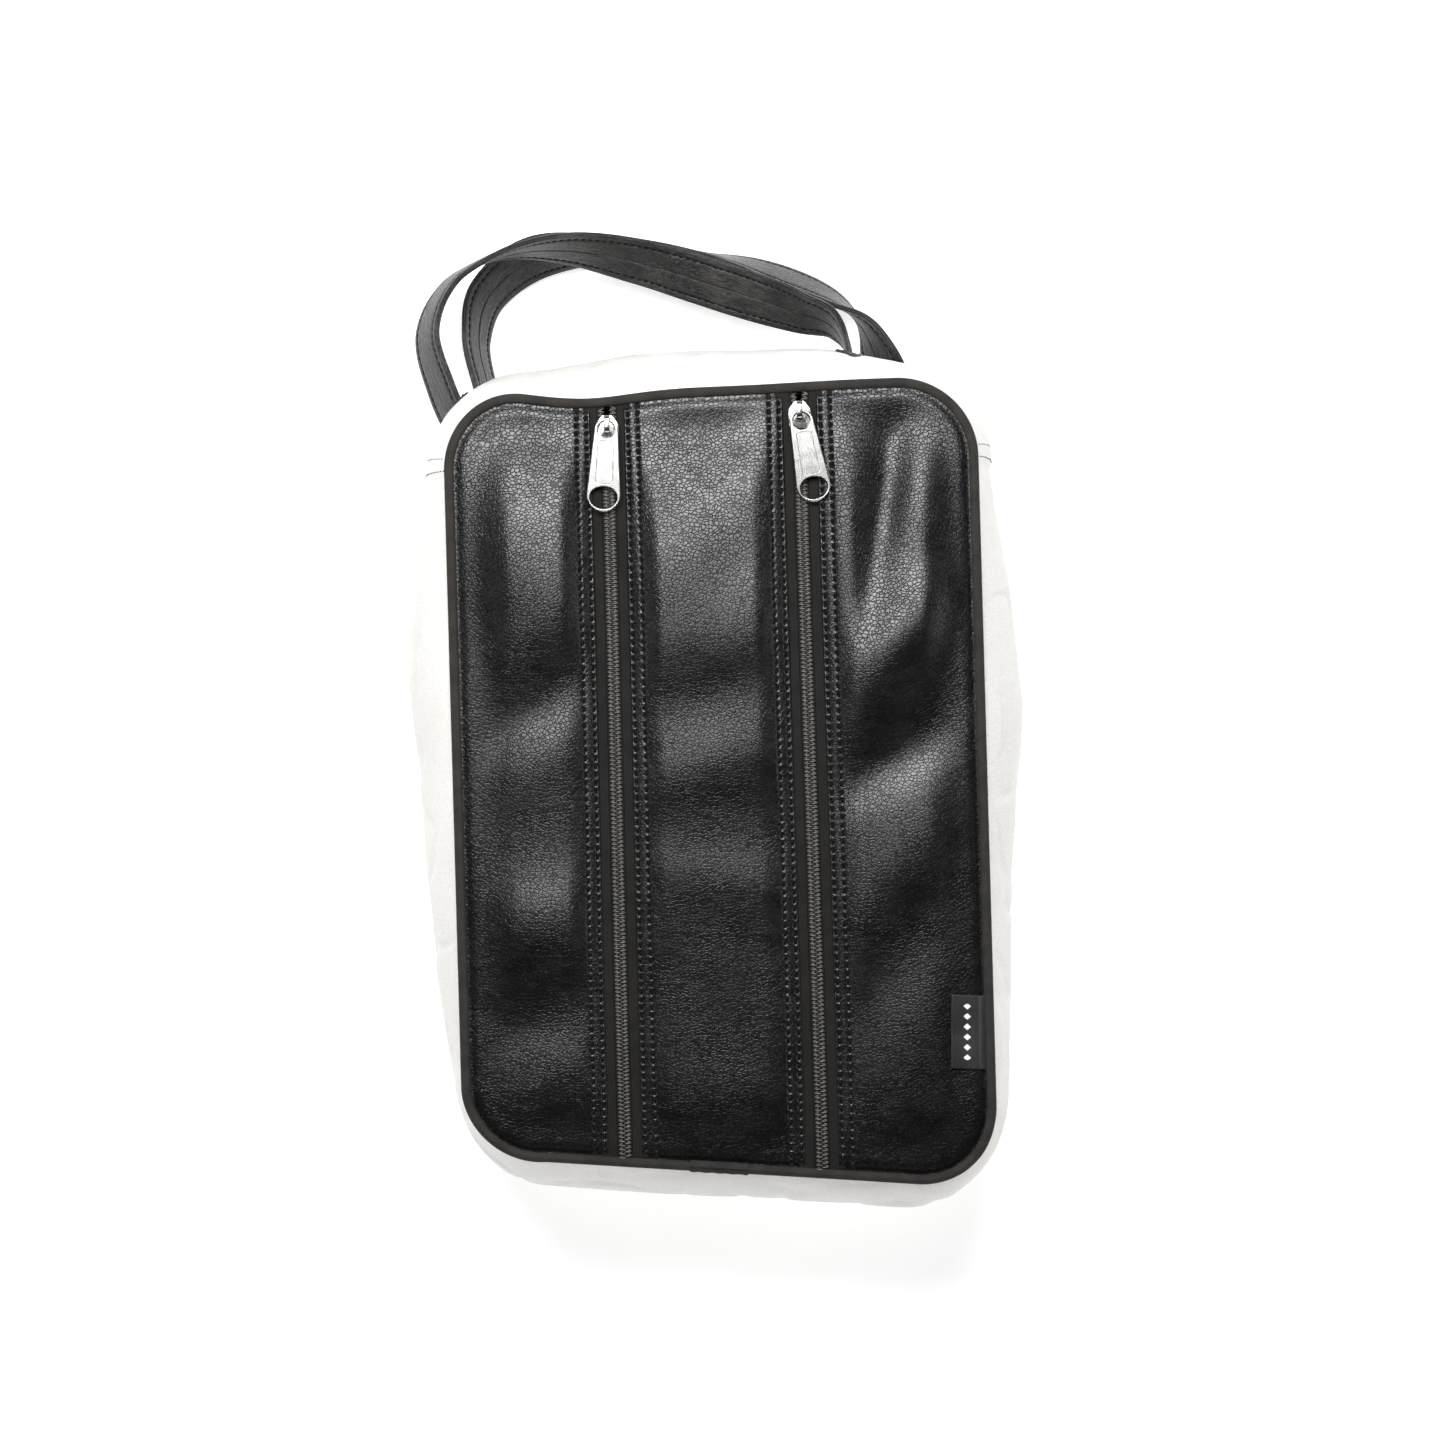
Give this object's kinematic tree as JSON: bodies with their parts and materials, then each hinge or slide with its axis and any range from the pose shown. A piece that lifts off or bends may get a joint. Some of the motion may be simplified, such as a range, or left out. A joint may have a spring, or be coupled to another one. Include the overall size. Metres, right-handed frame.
{
  "type": "golf shoe bag",
  "caption": "Upright two-compartment shoe bag with a zipped black front, a bulging white gusset, piped edges and a pair of loop handles on the top.",
  "frame": {"origin": "centre of the back panel's outer face, which rests on the table", "axes": "+Z out through the zipped front panel, +Y towards the handles, +X to the right seen from the front"},
  "size_m": [0.2764, 0.4462, 0.1218],
  "materials": {
    "black_vinyl": "semi-gloss pebbled vinyl",
    "white_vinyl": "semi-matt pebbled vinyl",
    "handle_vinyl": "satin vinyl",
    "piping_braid": "fine twill",
    "filler_cord": "matt",
    "core_webbing": "matt",
    "seam_binding": "matt",
    "divider_fabric": "matt",
    "zip_tape": "herringbone",
    "zip_coil": "satin nylon",
    "nickel": "polished nickel plate",
    "satin_label": "satin weave"
  },
  "bodies": {
    "shell": {"back_handle_root_left": "handle_vinyl", "back_handle_root_right": "handle_vinyl", "back_panel": "black_vinyl", "back_piping": "piping_braid", "back_piping_cord": "filler_cord", "back_piping_sleeve": "piping_braid", "back_seam_binding": "seam_binding", "body_gusset": "white_vinyl", "compartment_divider": "divider_fabric", "front_handle_root_left": "handle_vinyl", "front_handle_root_right": "handle_vinyl", "front_panel_centre": "black_vinyl", "front_panel_left": "black_vinyl", "front_panel_right": "black_vinyl", "front_piping": "piping_braid", "front_piping_cord": "filler_cord", "front_piping_sleeve": "piping_braid", "front_seam_binding": "seam_binding", "left_zip_coil_left": "zip_coil", "left_zip_coil_right": "zip_coil", "left_zip_tape_left": "zip_tape", "left_zip_tape_right": "zip_tape", "right_zip_coil_left": "zip_coil", "right_zip_coil_right": "zip_coil", "right_zip_tape_left": "zip_tape", "right_zip_tape_right": "zip_tape", "top_gusset": "white_vinyl", "woven_label": "satin_label"},
    "back_handle": {"back_handle_core": "core_webbing", "back_handle_strap": "handle_vinyl"},
    "front_handle": {"front_handle_core": "core_webbing", "front_handle_strap": "handle_vinyl"},
    "left_pull": {"left_zip_pull": "nickel"},
    "left_slider": {"left_zip_slider": "nickel"},
    "right_pull": {"right_zip_pull": "nickel"},
    "right_slider": {"right_zip_slider": "nickel"}
  },
  "joints": [
    {"name": "left_zip_run", "type": "slide", "parent": "shell", "child": "left_slider", "axis": [0, -1, 0], "range_m": [0, 0.316]},
    {"name": "left_pull_swing", "type": "hinge", "parent": "left_slider", "child": "left_pull", "pos_m": [-0.046, 0.1619, 0.1193], "axis": [-0.9976, 0.0698, 0], "range_deg": [0, 170]},
    {"name": "right_zip_run", "type": "slide", "parent": "shell", "child": "right_slider", "axis": [0, -1, 0], "range_m": [0, 0.32]},
    {"name": "right_pull_swing", "type": "hinge", "parent": "right_slider", "child": "right_pull", "pos_m": [0.04, 0.1634, 0.1193], "axis": [-0.9877, -0.1564, 0], "range_deg": [0, 170]},
    {"name": "front_handle_swing", "type": "hinge", "parent": "shell", "child": "front_handle", "pos_m": [-0.03, 0.208, 0.06], "axis": [1, 0, 0], "range_deg": [0, 80], "deforming": ["front_handle_root_left", "front_handle_root_right"]},
    {"name": "back_handle_swing", "type": "hinge", "parent": "shell", "child": "back_handle", "pos_m": [-0.01, 0.208, 0.028], "axis": [1, 0, 0], "range_deg": [-80, 0], "deforming": ["back_handle_root_left", "back_handle_root_right"]}
  ]
}
